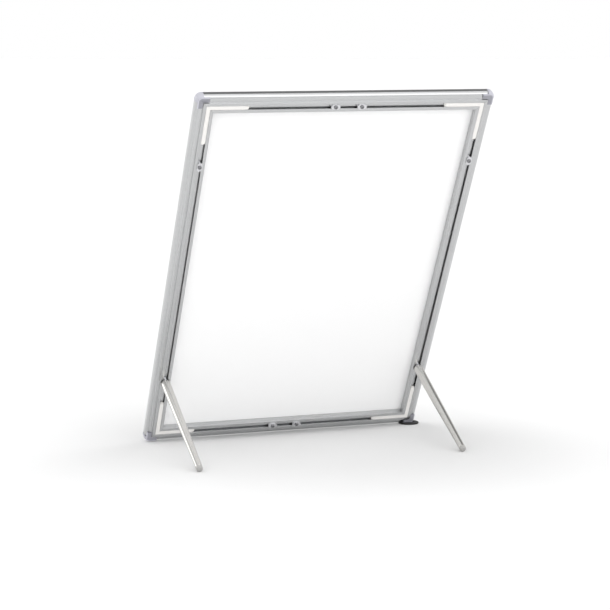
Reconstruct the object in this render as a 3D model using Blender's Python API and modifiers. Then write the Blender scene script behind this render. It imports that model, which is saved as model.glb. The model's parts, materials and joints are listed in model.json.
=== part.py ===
"""Free-standing poster board: a snap frame that leans back on two turned legs.

The board is modelled upright in its own axes, whose origin is the middle of the
frame on its back plane: X across, Y out of the back, Z up the frame. An empty then
leans it back and stands it on the floor. Metres throughout.

A rail's section is drawn in two coordinates: s runs outwards across the rail from
the middle of its slot, and d runs forwards from the back plane.
"""

import math

import bmesh
import bpy
from mathutils import Vector

MM = 0.001

# The sheets and the frame that holds them.
POSTER_W = 500 * MM
POSTER_H = 700 * MM
EDGE = 22 * MM  # from the middle of the slot out to the frame's nominal edge
RAIL_IN = 9.7 * MM  # from the middle of the slot in to the rail's inner wall
GAP = 0.3 * MM  # between pieces that touch
MITRE_GAP = 0.2 * MM

# Base rail.
SLOT_HALF = 3.9 * MM
CAVITY_HALF = 7.4 * MM
LIP = 1.5 * MM
CAVITY_FLOOR = 4.9 * MM
BOX_DEPTH = 6.1 * MM
BOX_OUT = 9.3 * MM
FLANGE_BACK = 2.9 * MM
FLANGE_FRONT = 4.2 * MM
FLANGE_SLOPE = 12.5 * MM  # where the flange starts to fall towards the cover's curl
FLANGE_TIP = (17.0 * MM, 4.2 * MM)
FLANGE_PLAY_R = 6.95 * MM  # the flange's tip clears the turning curl
WALL = 1.4 * MM
SEAT = 11.9 * MM  # depth of the face that the sheets lie on
RIB_IN = 1.6 * MM
RIB_OUT = 2.8 * MM
RIB_TOP = 15.3 * MM

# Hinge between a base rail and its snap cover.
HINGE_S = 15.4 * MM
HINGE_D = 11.2 * MM
BEAD_R = 4.6 * MM
CURL_IN_R = 5.2 * MM
CURL_OUT_R = 6.6 * MM
CURL_END = math.radians(82)
COVER_FRONT = 18 * MM
COVER_EDGE_R = 1.5 * MM
COVER_LIP_TIP = 15.6 * MM
COVER_DROP = 0.9 * MM  # how far the front face falls towards its inner edge
COVER_CHAMFER = 0.7 * MM

# Sheets, from the back forwards.
PANEL_T = 1.7 * MM
POSTER_T = 0.3 * MM
CLEAR_T = 0.5 * MM
SHEET_PLAY = 0.4 * MM

# Corner caps: a rounded shell over the corner, and a flat L on the rails' flanges.
CAP_BLOCK = 12.7 * MM  # from the frame's nominal edges in to the shell's open ends
CAP_PROUD = 0.8 * MM
CAP_BACK = 1.6 * MM
CAP_FRONT = 19 * MM
CAP_ROUND = 8 * MM
CAP_FRONT_ROUND = 4 * MM
CAP_CORNER_R = 12 * MM
CAP_WALL = 1.0 * MM
CAP_OPEN = 20 * MM  # how far its hollow is cut out past the open ends
CAP_ARM = 23 * MM
CAP_ARM_OUT = 2.8 * MM
CAP_ARM_IN = 11.6 * MM
CAP_LIP_IN = 4.4 * MM
CAP_PLATE_DEPTH = 2.6 * MM
CAP_LIP_DEPTH = 4.3 * MM
CAP_ARM_R = 7 * MM
BASE_END = 8.5 * MM  # how far the base rails' sharp tips are cut back under a cap
COVER_END = CAP_BLOCK + 0.5 * MM

# Corner connectors.
CONNECTOR_ARM = 70 * MM
CONNECTOR_RIB_HALF = 3.6 * MM
CONNECTOR_HALF = 5.8 * MM
CONNECTOR_TOP = 0.2 * MM
PLATE_LONGER = 2 * MM  # the hidden plate's arms past the rib's

# Slot lugs and their screws.
LUG_LENGTH = 17 * MM
LUG_WIDTH = 9.6 * MM
LUG_HEAD = (0.3 * MM, 2.0 * MM)
LUG_FOOT = (1.8 * MM, 4.5 * MM)
LUG_NECK_SIZE = (15 * MM, 7.2 * MM)
LUG_FOOT_SIZE = (15.5 * MM, 12 * MM)
LUG_OVERLAP = 0.4 * MM  # how far the neck runs into the plates that it joins
LUG_SCREW_HOLE = 2.1 * MM
LUG_STUD_HOLE = 3.15 * MM
LUG_TOP_X = 24 * MM
LUG_SIDE_Z = 235 * MM
SCREW_HEAD_R = 3.5 * MM
SCREW_SHANK_R = 1.8 * MM
SCREW_TOP = 4.2 * MM
SCREW_TIP = -4.4 * MM
RECESS = (1.9 * MM, 0.45 * MM, 1.1 * MM)  # half length, half width and depth of the cross
RECESS_TURN = math.radians(20)

# Legs.
LEG_Z = -231 * MM
LEG_LENGTH = 245 * MM  # from the back plane to the tip
LEG_BASE_R = 8.8 * MM
LEG_TIP_R = 6.1 * MM
LEG_CHAMFER = 0.8 * MM
LEG_START = LUG_HEAD[1] + GAP
TIP_LENGTH = 6 * MM
TIP_ROUND = 3 * MM
TIP_PIN_R = 2.2 * MM
TIP_PIN = 8 * MM
STUD_R = 2.85 * MM
STUD_DEPTH = 14 * MM
STUD_CHAMFER = 0.5 * MM

# Leaf springs.
SPRING_LENGTH = 64 * MM
SPRING_T = 0.5 * MM
SPRING_S = (3.3 * MM, 10.1 * MM)
SPRING_D = (12.2 * MM, 15.9 * MM)
SPRING_SHORT_SIDE = (-125 * MM, 125 * MM)
SPRING_LONG_SIDE = (-225 * MM, 0, 225 * MM)

# Foot under one bottom corner.
FOOT_R = 19.5 * MM
FOOT_T = 3.0 * MM
FOOT_FLOOR = 1.0 * MM
FOOT_X = -262 * MM
FOOT_CHAMFER = 0.6 * MM
POCKET_PLAY = 0.6 * MM
POCKET_Y = (-8.4 * MM, 5.8 * MM)

HALF_W = POSTER_W / 2
HALF_H = POSTER_H / 2


def lean_angle():
    """The lean at which the leg tips and the foot under the corner stand on one floor."""
    cap_v = HALF_H + EDGE + CAP_PROUD - CAP_ROUND
    cap_d = CAP_BACK + CAP_ROUND
    tip_v = -LEG_Z + LEG_TIP_R - TIP_ROUND
    tip_n = LEG_LENGTH - TIP_ROUND
    lift = FOOT_FLOOR + GAP
    a = cap_v - tip_v
    b = cap_d + tip_n
    c = CAP_ROUND - TIP_ROUND + lift
    return math.atan2(a, b) + math.asin(c / math.hypot(a, b))


LEAN = lean_angle()
SIN, COS = math.sin(LEAN), math.cos(LEAN)


def board_height():
    """Height of the board's own origin over the floor."""
    tip_v = -LEG_Z + LEG_TIP_R - TIP_ROUND
    tip_n = LEG_LENGTH - TIP_ROUND
    return tip_v * COS + tip_n * SIN + TIP_ROUND


def board_y():
    """Y of the board's own origin that centres the whole object front to back."""
    back = (HALF_H + EDGE - CAP_ARM_OUT) * SIN - CAP_BACK * COS
    front = cap_low_y(0) - FOOT_R
    return -(back + front) / 2


def cap_low_y(origin_y):
    """Y of the lowest line of a bottom corner cap."""
    round_v = HALF_H + EDGE + CAP_PROUD - CAP_ROUND
    return origin_y - round_v * SIN - (CAP_BACK + CAP_ROUND) * COS


# X of the board's own origin: the foot sticks out past one side only.
BOARD_X = -((HALF_W + EDGE + CAP_PROUD) + (FOOT_X - FOOT_R)) / 2


# --- scene and materials --------------------------------------------------------

for old in list(bpy.data.objects):
    bpy.data.objects.remove(old, do_unlink=True)

PARTS = bpy.data.collections.new("poster_board")
CUTTERS = bpy.data.collections.new("cutters")
bpy.context.scene.collection.children.link(PARTS)
bpy.context.scene.collection.children.link(CUTTERS)


def material(name, color, roughness, metallic=0.0, alpha=1.0):
    made = bpy.data.materials.new(name)
    made.use_nodes = True
    shader = made.node_tree.nodes["Principled BSDF"]
    shader.inputs["Base Color"].default_value = (*color, 1)
    shader.inputs["Roughness"].default_value = roughness
    shader.inputs["Metallic"].default_value = metallic
    shader.inputs["Alpha"].default_value = alpha
    return made


ALUMINIUM = material("anodised_aluminium", (0.62, 0.63, 0.65), 0.38, 1.0)
LEG_METAL = material("turned_aluminium", (0.66, 0.65, 0.62), 0.3, 1.0)
CAP_GREY = material("cap_plastic", (0.52, 0.52, 0.58), 0.45)
WHITE_PLASTIC = material("connector_plastic", (0.88, 0.87, 0.85), 0.5)
PANEL_WHITE = material("panel_white", (0.93, 0.93, 0.93), 0.25)
PAPER = material("poster_paper", (0.9, 0.9, 0.88), 0.6)
CLEAR = material("clear_sheet", (1.0, 1.0, 1.0), 0.1, alpha=0.25)
ZINC = material("zinc_plated", (0.7, 0.7, 0.72), 0.35, 1.0)
SPRING_STEEL = material("spring_steel", (0.45, 0.46, 0.5), 0.3, 1.0)
TIP_PLASTIC = material("tip_plastic", (0.8, 0.79, 0.77), 0.5)
RUBBER = material("black_rubber", (0.02, 0.02, 0.02), 0.7)


def add(name, mesh, finish, parent, location=(0, 0, 0), rotation=(0, 0, 0)):
    made = bpy.data.objects.new(name, mesh)
    if not mesh.materials:
        mesh.materials.append(finish)
    PARTS.objects.link(made)
    made.parent = parent
    made.location = location
    made.rotation_euler = rotation
    return made


def cutter(name, mesh, parent, location=(0, 0, 0), rotation=(0, 0, 0)):
    made = bpy.data.objects.new(name, mesh)
    CUTTERS.objects.link(made)
    made.parent = parent
    made.location = location
    made.rotation_euler = rotation
    made.hide_render = True
    made.display_type = "WIRE"
    return made


def boolean(target, operation, other):
    made = target.modifiers.new(operation.lower(), "BOOLEAN")
    made.operation = operation
    made.object = other


# --- shapes ---------------------------------------------------------------------


def arc(cx, cy, radius, start, end, steps):
    """Points on an arc, both ends included, angles in radians."""
    angles = [start + (end - start) * i / steps for i in range(steps + 1)]
    return [(cx + radius * math.cos(a), cy + radius * math.sin(a)) for a in angles]


def stadium(length, width, steps=6):
    """A slot-shaped outline along X, centred on the origin."""
    r = width / 2
    right = arc(length / 2 - r, 0, r, -math.pi / 2, math.pi / 2, steps)
    left = arc(-length / 2 + r, 0, r, math.pi / 2, 3 * math.pi / 2, steps)
    return right + left


def prism(name, outline, depth, place):
    """The outline extruded by depth; place(a, b, h) gives each point's coordinates."""
    bm = bmesh.new()
    face = bm.faces.new([bm.verts.new(place(a, b, 0)) for a, b in outline])
    grown = bmesh.ops.extrude_face_region(bm, geom=[face])
    shift = Vector(place(0, 0, depth)) - Vector(place(0, 0, 0))
    moved = [v for v in grown["geom"] if isinstance(v, bmesh.types.BMVert)]
    bmesh.ops.translate(bm, vec=shift, verts=moved)
    bmesh.ops.recalc_face_normals(bm, faces=bm.faces)
    mesh = bpy.data.meshes.new(name)
    bm.to_mesh(mesh)
    bm.free()
    return mesh


def box(name, low, high):
    size = [h - l for l, h in zip(low, high)]
    middle = [(h + l) / 2 for l, h in zip(low, high)]
    bm = bmesh.new()
    bmesh.ops.create_cube(bm, size=1)
    bmesh.ops.scale(bm, vec=size, verts=bm.verts)
    bmesh.ops.translate(bm, vec=middle, verts=bm.verts)
    mesh = bpy.data.meshes.new(name)
    bm.to_mesh(mesh)
    bm.free()
    return mesh


def turned(name, profile, finish, parent, location, steps=28):
    """A solid of revolution about the board's Y axis: profile is (radius, y), tip first."""
    mesh = bpy.data.meshes.new(name)
    points = [(r, 0, y) for r, y in profile]
    mesh.from_pydata(points, [(i, i + 1) for i in range(len(points) - 1)], [])
    made = add(name, mesh, finish, parent, location, (-math.pi / 2, 0, 0))
    screw = made.modifiers.new("turn", "SCREW")
    screw.axis = "Z"
    screw.steps = screw.render_steps = steps
    screw.use_merge_vertices = True
    screw.merge_threshold = 0.00001
    screw.use_smooth_shade = True
    return made


# --- rails ----------------------------------------------------------------------

# For each side: the direction of s, the direction along the rail, and half the
# frame's outer length on that side. The two directions and Y make a right hand.
SIDES = {
    "top": (Vector((0, 0, 1)), Vector((1, 0, 0)), HALF_W),
    "bottom": (Vector((0, 0, -1)), Vector((-1, 0, 0)), HALF_W),
    "left": (Vector((1, 0, 0)), Vector((0, 0, -1)), HALF_H),
    "right": (Vector((-1, 0, 0)), Vector((0, 0, 1)), HALF_H),
}
BACK = Vector((0, 1, 0))


def slot_middle(side):
    out, _, half = SIDES[side]
    other = HALF_H if half == HALF_W else HALF_W
    return out * other


def base_outline():
    """Section of the base rail: slot box, flange, sheet seat, rib and hinge bead."""
    web_front = math.asin((SEAT - HINGE_D) / BEAD_R)
    web_back = math.asin((HINGE_D - SEAT + WALL) / BEAD_R)
    bead = arc(HINGE_S, HINGE_D, BEAD_R, math.pi - web_front, -math.pi + web_back, 18)
    under_tip = math.acos((FLANGE_TIP[0] - HINGE_S) / FLANGE_PLAY_R)
    tip_under = arc(HINGE_S, HINGE_D, FLANGE_PLAY_R, -under_tip, -math.pi / 2, 4)
    return [
        (-RAIL_IN, 0),
        (-SLOT_HALF, 0),
        (-SLOT_HALF, LIP),
        (-CAVITY_HALF, LIP),
        (-CAVITY_HALF, CAVITY_FLOOR),
        (CAVITY_HALF, CAVITY_FLOOR),
        (CAVITY_HALF, LIP),
        (SLOT_HALF, LIP),
        (SLOT_HALF, 0),
        (BOX_OUT, 0),
        (BOX_OUT, FLANGE_BACK),
        (FLANGE_SLOPE, FLANGE_BACK),
        FLANGE_TIP,
        *tip_under,
        (BOX_OUT, FLANGE_FRONT),
        (BOX_OUT, BOX_DEPTH),
        (WALL - RAIL_IN, BOX_DEPTH),
        (WALL - RAIL_IN, SEAT - WALL),
        *reversed(bead),
        (RIB_OUT, SEAT),
        (RIB_OUT, RIB_TOP),
        (RIB_IN, RIB_TOP),
        (RIB_IN, SEAT),
        (-RAIL_IN, SEAT),
    ]


def cover_outline():
    """Section of the snap cover: curl round the bead, side, front face, turned-in lip."""
    lip = -RAIL_IN - GAP
    side = HINGE_S + CURL_OUT_R
    corner = (side - COVER_EDGE_R, COVER_FRONT - COVER_EDGE_R)
    inner_front = COVER_FRONT - COVER_DROP
    edge_outer = arc(*corner, COVER_EDGE_R, 0, math.pi / 2, 4)
    curl_outer = arc(HINGE_S, HINGE_D, CURL_OUT_R, -CURL_END, 0, 12)
    curl_inner = arc(HINGE_S, HINGE_D, CURL_IN_R, 0, -CURL_END, 12)
    return [
        *curl_outer,
        *edge_outer,
        (lip + COVER_CHAMFER, inner_front),
        (lip, inner_front - COVER_CHAMFER),
        (lip, COVER_LIP_TIP),
        (lip + WALL, COVER_LIP_TIP),
        (lip + WALL, inner_front - WALL),
        (side - WALL, COVER_FRONT - WALL),
        *curl_inner,
    ]


def rail_mesh(name, side, outline, origin, cut_back):
    """The outline swept along one side and mitred, its points relative to origin.

    Each end is also cut square, cut_back in from the frame's nominal edge.
    """
    out, along, half = SIDES[side]
    reach = half + EDGE
    middle = slot_middle(side)
    bm = bmesh.new()
    ring = [bm.verts.new(middle + out * s - BACK * d) for s, d in outline]
    face = bm.faces.new(ring)
    grown = bmesh.ops.extrude_face_region(bm, geom=[face])
    far = {v for v in grown["geom"] if isinstance(v, bmesh.types.BMVert)}
    for v in bm.verts:
        inset = EDGE - (v.co - middle).dot(out) + MITRE_GAP
        v.co += along * (reach - inset) * (1 if v in far else -1)
    bmesh.ops.triangulate(bm, faces=[f for f in bm.faces if len(f.verts) > 4])
    for sign in (1, -1):
        cut = bmesh.ops.bisect_plane(
            bm,
            geom=[*bm.verts, *bm.edges, *bm.faces],
            dist=1e-7,
            plane_co=middle + along * sign * (reach - cut_back),
            plane_no=along * sign,
            clear_outer=True,
        )
        rim = [e for e in cut["geom_cut"] if isinstance(e, bmesh.types.BMEdge)]
        bmesh.ops.holes_fill(bm, edges=rim, sides=0)
    bmesh.ops.recalc_face_normals(bm, faces=bm.faces)
    bmesh.ops.translate(bm, vec=-Vector(origin), verts=bm.verts)
    mesh = bpy.data.meshes.new(name)
    bm.to_mesh(mesh)
    bm.free()
    return mesh


def hinge_point(side):
    out = SIDES[side][0]
    return slot_middle(side) + out * HINGE_S - BACK * HINGE_D


def shade(made, degrees=35):
    made.data.shade_smooth()
    made.data.set_sharp_from_angle(angle=math.radians(degrees))


def make_rails(board):
    for side in SIDES:
        base = rail_mesh(f"base_{side}", side, base_outline(), (0, 0, 0), BASE_END)
        shade(add(f"base_rail_{side}", base, ALUMINIUM, board))
        pivot = hinge_point(side)
        cover = rail_mesh(f"cover_{side}", side, cover_outline(), pivot, COVER_END)
        shade(add(f"snap_cover_{side}", cover, ALUMINIUM, board, pivot))


def make_springs(board):
    """Bowed strips between each base rail and its cover, near the hinge."""
    low, high = SPRING_D
    rise = high - low - SPRING_T
    half = SPRING_LENGTH / 2
    radius = (half**2 + rise**2) / (2 * rise)
    swing = math.asin(half / radius)
    up = math.pi / 2
    base_y = high - radius
    outer = arc(0, base_y, radius, up - swing, up + swing, 12)
    inner = arc(0, base_y, radius - SPRING_T, up + swing, up - swing, 12)
    for side, (out, along, half_side) in SIDES.items():
        centres = SPRING_SHORT_SIDE if half_side == HALF_W else SPRING_LONG_SIDE
        for i, centre in enumerate(centres, 1):
            start = slot_middle(side) + out * SPRING_S[0] + along * centre

            def place(a, b, h, start=start, out=out, along=along):
                return start + along * a - BACK * b + out * h

            strip = prism(f"spring_{side}_{i}", outer + inner, SPRING_S[1] - SPRING_S[0], place)
            shade(add(f"leaf_spring_{side}_{i}", strip, SPRING_STEEL, board))


# --- sheets ---------------------------------------------------------------------


def make_sheets(board):
    half_w = HALF_W - SHEET_PLAY
    half_h = HALF_H - SHEET_PLAY
    layers = (
        ("back_panel", PANEL_T, PANEL_WHITE),
        ("poster_sheet", POSTER_T, PAPER),
        ("clear_front_sheet", CLEAR_T, CLEAR),
    )
    depth = SEAT + GAP
    for name, thickness, finish in layers:
        low = (-half_w, -depth - thickness, -half_h)
        add(name, box(name, low, (half_w, -depth, half_h)), finish, board)
        depth += thickness + GAP


# --- corners --------------------------------------------------------------------

# For each corner: which way it lies from the middle, in X and in Z.
CORNERS = {
    "top_left": (1, 1),
    "top_right": (-1, 1),
    "bottom_left": (1, -1),
    "bottom_right": (-1, -1),
}


def cap_block(name, wall):
    """A rounded corner block, its outer faces moved in by wall.

    It is in the corner's own axes: X and Z run in from the frame's nominal edges.
    """
    low, high = wall - CAP_PROUD, CAP_BLOCK + (CAP_OPEN if wall else 0)
    back, front = -CAP_BACK - wall, -CAP_FRONT + wall
    mesh = box(name, (low, front, low), (high, back, high))
    bm = bmesh.new()
    bm.from_mesh(mesh)

    def at(vert, axis, value):
        return abs(vert.co[axis] - value) < 1e-6

    def round_off(edges, radius):
        bmesh.ops.bevel(
            bm, geom=edges, offset=radius, segments=5, profile=0.5, affect="EDGES"
        )

    corner = [e for e in bm.edges if all(at(v, 0, low) and at(v, 2, low) for v in e.verts)]
    round_off(corner, CAP_CORNER_R - wall)
    for y, radius in ((back, CAP_ROUND - wall), (front, CAP_FRONT_ROUND - wall)):
        rims = []
        for edge in bm.edges:
            flat = all(at(v, 1, y) for v in edge.verts)
            inner = any(all(at(v, axis, high) for v in edge.verts) for axis in (0, 2))
            if flat and not inner:
                rims.append(edge)
        round_off(rims, radius)
    bmesh.ops.recalc_face_normals(bm, faces=bm.faces)
    bm.to_mesh(mesh)
    bm.free()
    return mesh


def arm_layer(name, inner, depth):
    """An L along both edges, its outer corner rounded, from the cap's back to depth."""
    low = CAP_ARM_OUT
    centre = low + CAP_ARM_R
    inner_r = centre - inner
    inside = [(inner, inner)]
    if inner_r > 0:
        inside = arc(centre, centre, inner_r, 3 * math.pi / 2, math.pi, 6)
    outline = [
        *arc(centre, centre, CAP_ARM_R, math.pi, 3 * math.pi / 2, 6),
        (CAP_ARM, low),
        (CAP_ARM, inner),
        *inside,
        (inner, CAP_ARM),
        (low, CAP_ARM),
    ]
    return prism(name, outline, CAP_BACK - depth, lambda a, b, h: (a, h - CAP_BACK, b))


def mirrored(mesh, name, flip_x, flip_z):
    """A copy of the mesh reflected in X and Z where asked, with its faces still outwards."""
    bm = bmesh.new()
    bm.from_mesh(mesh)
    bmesh.ops.scale(bm, vec=(flip_x, 1, flip_z), verts=bm.verts)
    if flip_x * flip_z < 0:
        bmesh.ops.reverse_faces(bm, faces=bm.faces)
    made = bpy.data.meshes.new(name)
    bm.to_mesh(made)
    bm.free()
    return made


def make_caps(board):
    block = cap_block("cap_block", 0)
    steps = (
        ("DIFFERENCE", cap_block("cap_inside", CAP_WALL)),
        ("UNION", arm_layer("cap_plate", CAP_ARM_IN, CAP_PLATE_DEPTH)),
        ("UNION", arm_layer("cap_lip", CAP_LIP_IN, CAP_LIP_DEPTH)),
    )
    for corner, (cx, cz) in CORNERS.items():
        place = (cx * (HALF_W + EDGE), 0, cz * (HALF_H + EDGE))
        cap = add(f"corner_cap_{corner}", mirrored(block, corner, -cx, -cz), CAP_GREY, board, place)
        for operation, other in steps:
            shape = mirrored(other, f"{other.name}_{corner}", -cx, -cz)
            boolean(cap, operation, cutter(f"make_{other.name}_{corner}", shape, board, place))
        shade(cap, 30)


def connector_outline(half, arm):
    """An L with round arm ends; its arms run from the origin along +X and +Z."""
    along_x = arc(arm - half, 0, half, -math.pi / 2, math.pi / 2, 6)
    along_z = arc(0, arm - half, half, 0, math.pi, 6)
    return [(-half, -half), *along_x, (half, half), *along_z]


def make_connectors(board):
    plate = prism(
        "connector_plate",
        connector_outline(CONNECTOR_HALF, CONNECTOR_ARM + PLATE_LONGER),
        -(CAVITY_FLOOR - GAP - LIP - GAP),
        lambda a, b, h: (a, h - LIP - GAP, b),
    )
    rib = prism(
        "connector_rib",
        connector_outline(CONNECTOR_RIB_HALF, CONNECTOR_ARM),
        LIP + 2 * GAP - CONNECTOR_TOP,
        lambda a, b, h: (a, h - LIP - 2 * GAP, b),
    )
    for corner, (cx, cz) in CORNERS.items():
        place = (cx * HALF_W, 0, cz * HALF_H)
        mesh = mirrored(plate, f"connector_{corner}", -cx, -cz)
        made = add(f"corner_connector_{corner}", mesh, WHITE_PLASTIC, board, place)
        ridge = mirrored(rib, f"rib_{corner}", -cx, -cz)
        boolean(made, "UNION", cutter(f"join_rib_{corner}", ridge, board, place))


# --- slot lugs ------------------------------------------------------------------

LUGS = {
    "top_1": (LUG_TOP_X, HALF_H, False),
    "top_2": (-LUG_TOP_X, HALF_H, False),
    "bottom_1": (LUG_TOP_X, -HALF_H, False),
    "bottom_2": (-LUG_TOP_X, -HALF_H, False),
    "left_upper": (HALF_W, LUG_SIDE_Z, True),
    "right_upper": (-HALF_W, LUG_SIDE_Z, True),
    "left_leg": (HALF_W, LEG_Z, True),
    "right_leg": (-HALF_W, LEG_Z, True),
}


def lug_layer(name, length, width, low, high):
    return prism(name, stadium(length, width), high - low, lambda a, b, h: (a, low + h, b))


def hole_mesh(name, radius):
    bm = bmesh.new()
    bmesh.ops.create_cone(
        bm, cap_ends=True, segments=20, radius1=radius, radius2=radius, depth=30 * MM
    )
    mesh = bpy.data.meshes.new(name)
    bm.to_mesh(mesh)
    bm.free()
    return mesh


def make_lugs(board):
    for name, (x, z, upright) in LUGS.items():
        turn = (0, math.pi / 2 if upright else 0, 0)
        place = (x, 0, z)
        head = lug_layer(f"lug_{name}", LUG_LENGTH, LUG_WIDTH, *LUG_HEAD)
        lug = add(f"slot_lug_{name}", head, ZINC, board, place, turn)
        neck_span = (-LUG_FOOT[0] - LUG_OVERLAP, LUG_HEAD[0] + LUG_OVERLAP)
        neck = lug_layer("neck", *LUG_NECK_SIZE, *neck_span)
        foot = lug_layer("foot", *LUG_FOOT_SIZE, -LUG_FOOT[1], -LUG_FOOT[0])
        boolean(lug, "UNION", cutter(f"join_neck_{name}", neck, board, place, turn))
        boolean(lug, "UNION", cutter(f"join_foot_{name}", foot, board, place, turn))
        radius = LUG_STUD_HOLE if name.endswith("leg") else LUG_SCREW_HOLE
        drill = cutter(
            f"drill_{name}", hole_mesh("drill", radius), board, place, (math.pi / 2, 0, 0)
        )
        boolean(lug, "DIFFERENCE", drill)
        shade(lug)
        if not name.endswith("leg"):
            make_screw(name, place, board)


def make_screw(name, place, board):
    """A pan-head screw with a cross recess."""
    under = LUG_HEAD[1] + GAP
    profile = [
        (0, SCREW_TOP),
        (SCREW_HEAD_R * 0.6, SCREW_TOP - 0.15 * MM),
        (SCREW_HEAD_R * 0.9, SCREW_TOP - 0.6 * MM),
        (SCREW_HEAD_R, SCREW_TOP - 1.2 * MM),
        (SCREW_HEAD_R, under),
        (SCREW_SHANK_R, under),
        (SCREW_SHANK_R, SCREW_TIP + 0.5 * MM),
        (SCREW_SHANK_R * 0.7, SCREW_TIP),
        (0, SCREW_TIP),
    ]
    screw = turned(f"lug_screw_{name}", profile, ZINC, board, place, steps=18)
    long, half, deep = RECESS
    for i, (a, b) in enumerate(((long, half), (half, long))):
        bar = box("recess", (-a, SCREW_TOP - deep, -b), (a, SCREW_TOP + deep, b))
        spin = (0, RECESS_TURN, 0)
        boolean(screw, "DIFFERENCE", cutter(f"recess_{name}_{i}", bar, board, place, spin))


# --- legs -----------------------------------------------------------------------


def make_leg(name, x, board):
    """A tapered leg, its stud in the slot lug and its plastic tip."""
    place = (x, 0, LEG_Z)
    shaft_end = LEG_LENGTH - TIP_LENGTH - GAP
    bore, pin_bore = STUD_R + GAP, TIP_PIN_R + GAP
    thin = Vector((LEG_TIP_R, shaft_end - LEG_CHAMFER))
    thick = Vector((LEG_BASE_R, LEG_START + LEG_CHAMFER))
    leg = [
        (0, shaft_end - TIP_PIN - GAP),
        (pin_bore, shaft_end - TIP_PIN - GAP),
        (pin_bore, shaft_end),
        (LEG_TIP_R - LEG_CHAMFER / 2, shaft_end),
        *(tuple(thin.lerp(thick, i / 6)) for i in range(7)),
        (LEG_BASE_R - LEG_CHAMFER, LEG_START),
        (bore, LEG_START),
        (bore, STUD_DEPTH + GAP),
        (0, STUD_DEPTH + GAP),
    ]
    turned(f"leg_{name}", leg, LEG_METAL, board, place, steps=36)
    start = LEG_LENGTH - TIP_LENGTH
    end_arc = arc(LEG_TIP_R - TIP_ROUND, LEG_LENGTH - TIP_ROUND, TIP_ROUND, math.pi / 2, 0, 5)
    tip = [
        (0, LEG_LENGTH),
        *end_arc,
        (LEG_TIP_R, start),
        (TIP_PIN_R, start),
        (TIP_PIN_R, start - TIP_PIN),
        (0, start - TIP_PIN),
    ]
    turned(f"leg_tip_{name}", tip, TIP_PLASTIC, board, place)
    stud = [
        (0, STUD_DEPTH),
        (STUD_R - STUD_CHAMFER, STUD_DEPTH),
        (STUD_R, STUD_DEPTH - STUD_CHAMFER),
        (STUD_R, SCREW_TIP + STUD_CHAMFER),
        (STUD_R - STUD_CHAMFER, SCREW_TIP),
        (0, SCREW_TIP),
    ]
    turned(f"leg_stud_{name}", stud, ZINC, board, place, steps=20)


# --- foot -----------------------------------------------------------------------


def make_foot(origin_y):
    """A level rubber disc, grooved for the corner cap and for the cover's swing."""
    centre = (BOARD_X + FOOT_X, cap_low_y(origin_y), 0)
    mesh = bpy.data.meshes.new("foot")
    profile = [
        (0, FOOT_T),
        (FOOT_R - FOOT_CHAMFER, FOOT_T),
        (FOOT_R, FOOT_T - FOOT_CHAMFER),
        (FOOT_R, 0),
        (0, 0),
    ]
    points = [(r, 0, z) for r, z in profile]
    mesh.from_pydata(points, [(i, i + 1) for i in range(len(points) - 1)], [])
    foot = add("rubber_foot", mesh, RUBBER, None, centre)
    screw = foot.modifiers.new("turn", "SCREW")
    screw.axis = "Z"
    screw.steps = screw.render_steps = 48
    screw.use_merge_vertices = True
    screw.merge_threshold = 0.00001
    outer = -HALF_W - EDGE - FOOT_X - CAP_PROUD - POCKET_PLAY
    low = (outer, POCKET_Y[0], FOOT_FLOOR)
    pocket = box("foot_pocket", low, (2 * FOOT_R, POCKET_Y[1], 2 * FOOT_T))
    boolean(foot, "DIFFERENCE", cutter("cut_foot_pocket", pocket, None, centre))


def main():
    origin_y = board_y()
    board = bpy.data.objects.new("board_axes", None)
    PARTS.objects.link(board)
    board.location = (BOARD_X, origin_y, board_height())
    board.rotation_euler = (-LEAN, 0, 0)
    make_rails(board)
    make_springs(board)
    make_sheets(board)
    make_caps(board)
    make_connectors(board)
    make_lugs(board)
    make_leg("left", HALF_W, board)
    make_leg("right", -HALF_W, board)
    make_foot(origin_y)
    bpy.context.view_layer.update()


main()
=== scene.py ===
"""Looks of the leaning poster board: a snap frame held up by two turned legs.

The pieces are drawn in the board's own axes, whose origin is the middle of the frame
on its back plane: X across, Y out of the back, Z up the frame. A rail's section has
two coordinates: s runs outwards from the middle of its slot, d forwards from the back.
"""

import json
import math

import bmesh
import bpy
from mathutils import Matrix, Vector


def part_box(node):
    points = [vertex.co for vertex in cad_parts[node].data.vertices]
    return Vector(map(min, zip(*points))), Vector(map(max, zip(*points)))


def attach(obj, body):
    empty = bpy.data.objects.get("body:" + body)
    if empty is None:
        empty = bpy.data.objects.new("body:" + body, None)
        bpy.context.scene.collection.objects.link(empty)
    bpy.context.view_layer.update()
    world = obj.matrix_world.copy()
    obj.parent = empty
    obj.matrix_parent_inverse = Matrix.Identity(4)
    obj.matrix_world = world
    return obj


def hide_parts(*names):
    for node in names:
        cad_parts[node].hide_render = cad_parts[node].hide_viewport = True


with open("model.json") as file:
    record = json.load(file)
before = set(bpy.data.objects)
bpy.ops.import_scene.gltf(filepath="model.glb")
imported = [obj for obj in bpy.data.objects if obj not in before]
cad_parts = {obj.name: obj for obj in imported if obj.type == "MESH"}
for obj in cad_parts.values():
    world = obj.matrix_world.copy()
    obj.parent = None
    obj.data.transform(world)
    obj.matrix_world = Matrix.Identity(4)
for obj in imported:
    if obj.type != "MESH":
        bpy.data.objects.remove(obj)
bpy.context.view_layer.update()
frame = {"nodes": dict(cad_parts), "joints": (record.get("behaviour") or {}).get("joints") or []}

MM = 0.001
NODES = frame["nodes"]
JOINTS = {joint["name"]: joint for joint in frame["joints"]}

# --- sizes, the same as the CAD model's -----------------------------------------------

EDGE = 22 * MM
RAIL_IN = 9.7 * MM
GAP = 0.3 * MM
MITRE_GAP = 0.2 * MM

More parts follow.
